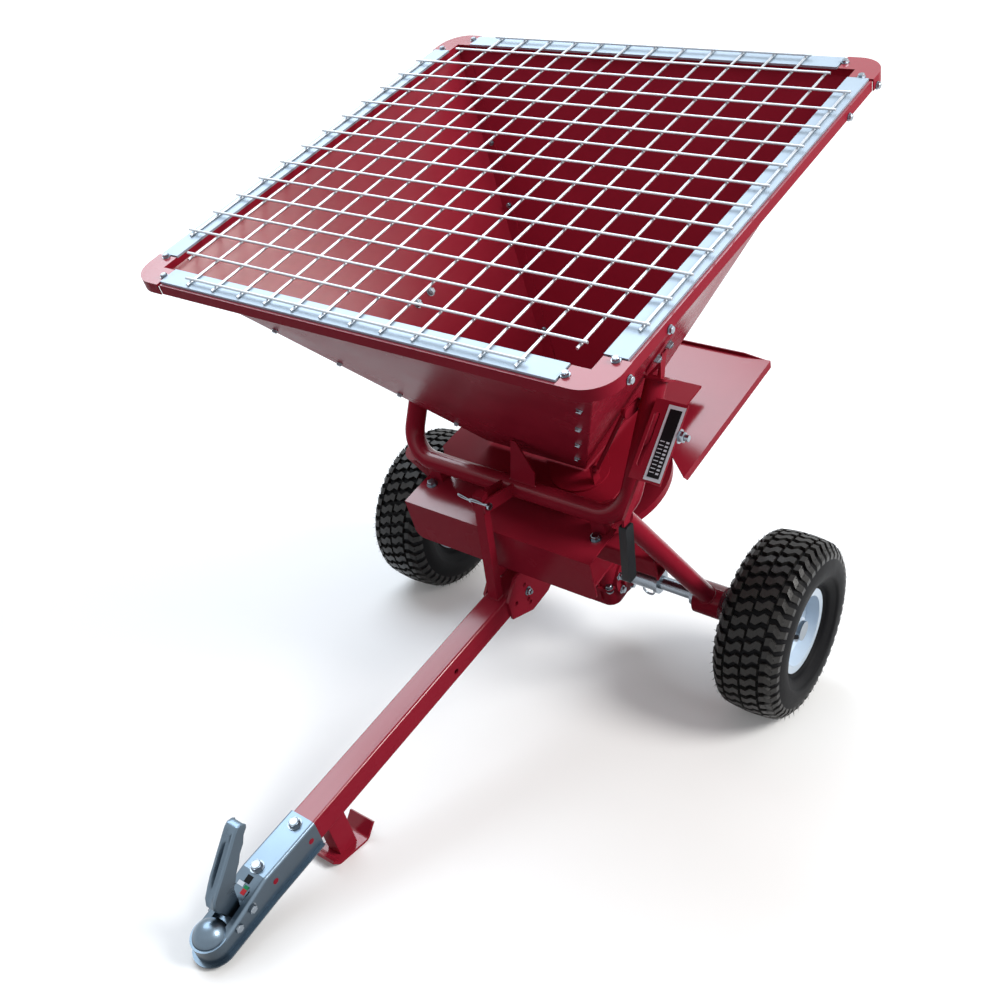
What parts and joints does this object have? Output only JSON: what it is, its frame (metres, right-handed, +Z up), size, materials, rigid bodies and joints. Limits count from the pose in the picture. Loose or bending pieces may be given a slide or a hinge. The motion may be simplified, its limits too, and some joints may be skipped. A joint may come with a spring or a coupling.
{
  "type": "salt spreader",
  "caption": "Trailed salt spreader parked on its skid foot: square funnel hopper with a wire grid over a ground-driven spinning disc, on a tube frame with pneumatic wheels and a ball coupling.",
  "frame": {"origin": "on the floor, in the middle of the parked machine's length and width", "axes": "+X to the machine's right, +Y to its rear, +Z up from the floor it is parked on"},
  "size_m": [1.0336, 1.3759, 1.2597],
  "materials": {
    "red_paint": "gloss powder coat",
    "zinc": "zinc plated",
    "rim_steel": "pale gloss paint",
    "tyre": "matt rubber",
    "grip": "soft black plastic"
  },
  "bodies": {
    "chassis": {"axle_arm_left": "red_paint", "axle_arm_right": "red_paint", "axle_left": "red_paint", "bearing_right": "red_paint", "coupling": "zinc", "coupling_lever": "zinc", "cross_beam": "red_paint", "deck": "red_paint", "drawbar": "red_paint", "front_bracket": "red_paint", "gearbox": "red_paint", "gearbox_cradle": "red_paint", "guard": "red_paint", "hood": "red_paint", "hoop_frame": "red_paint", "hopper_back": "red_paint", "hopper_front": "red_paint", "hopper_left": "red_paint", "hopper_right": "red_paint", "lever_grip": "grip", "link_rod": "red_paint", "pivot_plates": "red_paint", "rim_corners": "red_paint", "rim_strips": "zinc", "scale_plate": "red_paint", "shutter": "red_paint", "shutter_lever": "red_paint", "side_brackets": "red_paint", "skid_foot": "red_paint", "stay": "red_paint", "stay_pin": "zinc", "wire_grid": "zinc"},
    "wheel_left": {"tyre_left": "tyre", "rim_left": "rim_steel"},
    "wheel_right": {"tyre_right": "tyre", "rim_right": "rim_steel", "drive_shaft": "zinc", "lynch_pin": "zinc"},
    "spinner": {"spinner_disc": "red_paint", "spinner_shaft": "zinc"}
  },
  "joints": [
    {"name": "wheel_left_spin", "type": "hinge", "parent": "chassis", "child": "wheel_left", "pos_m": [-0.444, 0.47364, 0.1905], "axis": [1, 0, 0], "continuous": true},
    {"name": "wheel_right_spin", "type": "hinge", "parent": "chassis", "child": "wheel_right", "pos_m": [0.444, 0.47364, 0.1905], "axis": [1, 0, 0], "continuous": true},
    {"name": "spinner_spin", "type": "hinge", "parent": "chassis", "child": "spinner", "pos_m": [0, 0.39794, 0.44474], "axis": [0, -0.3284, 0.9445], "continuous": true}
  ],
  "couplings": [
    {"joint": "spinner_spin", "follows": "wheel_right_spin", "ratio": 3}
  ]
}
